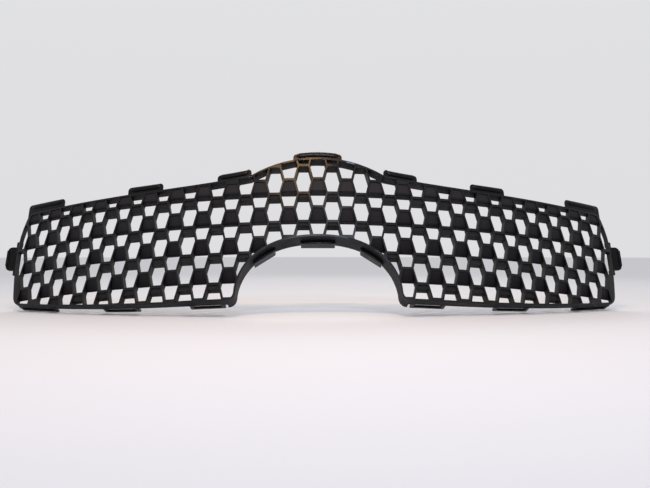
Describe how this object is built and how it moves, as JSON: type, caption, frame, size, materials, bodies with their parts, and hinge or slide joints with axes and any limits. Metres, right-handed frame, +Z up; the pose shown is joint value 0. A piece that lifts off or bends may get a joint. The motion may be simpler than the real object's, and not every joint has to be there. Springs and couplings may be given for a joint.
{
  "type": "front grille",
  "caption": "Curved black honeycomb front grille insert with louvred cells, a badge arch, upright clip tabs, snap loops and sprung side hooks.",
  "frame": {"origin": "on the ground plane, midway between the ends and midway between front and back", "axes": "+X to the viewer's right along the grille, +Y from the face towards the car, +Z up; the grille leans back 20 degrees as installed"},
  "size_m": [0.9064, 0.1632, 0.2252],
  "materials": {
    "mesh": "moulded ABS, glossy front edges",
    "louvre": "moulded ABS, fine spark-eroded grain",
    "rim": "moulded ABS, semi-gloss",
    "clip": "moulded ABS, as it leaves the mould"
  },
  "bodies": {
    "moulding": {"badge_arch": "rim", "centre_arch_pad": "clip", "centre_mesh": "mesh", "centre_top_tab": "clip", "crown_louvres": "louvre", "left_arch_pad": "clip", "left_bottom_rail": "rim", "left_end_loop": "clip", "left_end_post": "rim", "left_end_top_tab": "clip", "left_inner_loop": "clip", "left_inner_top_tab": "clip", "left_louvres_row_1": "louvre", "left_louvres_row_2": "louvre", "left_louvres_row_3": "louvre", "left_louvres_row_4": "louvre", "left_mesh": "mesh", "left_mid_loop": "clip", "left_mid_top_tab": "clip", "right_arch_pad": "clip", "right_bottom_rail": "rim", "right_end_loop": "clip", "right_end_post": "rim", "right_end_top_tab": "clip", "right_inner_loop": "clip", "right_inner_top_tab": "clip", "right_louvres_row_1": "louvre", "right_louvres_row_2": "louvre", "right_louvres_row_3": "louvre", "right_louvres_row_4": "louvre", "right_mesh": "mesh", "right_mid_loop": "clip", "right_mid_top_tab": "clip", "top_rail": "rim"},
    "left_hook": {"left_snap_hook": "clip"},
    "right_hook": {"right_snap_hook": "clip"}
  },
  "joints": [
    {"name": "right_hook_flex", "type": "hinge", "parent": "moulding", "child": "right_hook", "pos_m": [0.43924, 0.05623, 0.07432], "axis": [0, 0.342, 0.9397], "range_deg": [0, 8], "stiffness_Nm_per_rad": 0.6},
    {"name": "left_hook_flex", "type": "hinge", "parent": "moulding", "child": "left_hook", "pos_m": [-0.43924, 0.05623, 0.07432], "axis": [0, 0.342, 0.9397], "range_deg": [-8, 0], "stiffness_Nm_per_rad": 0.6}
  ]
}
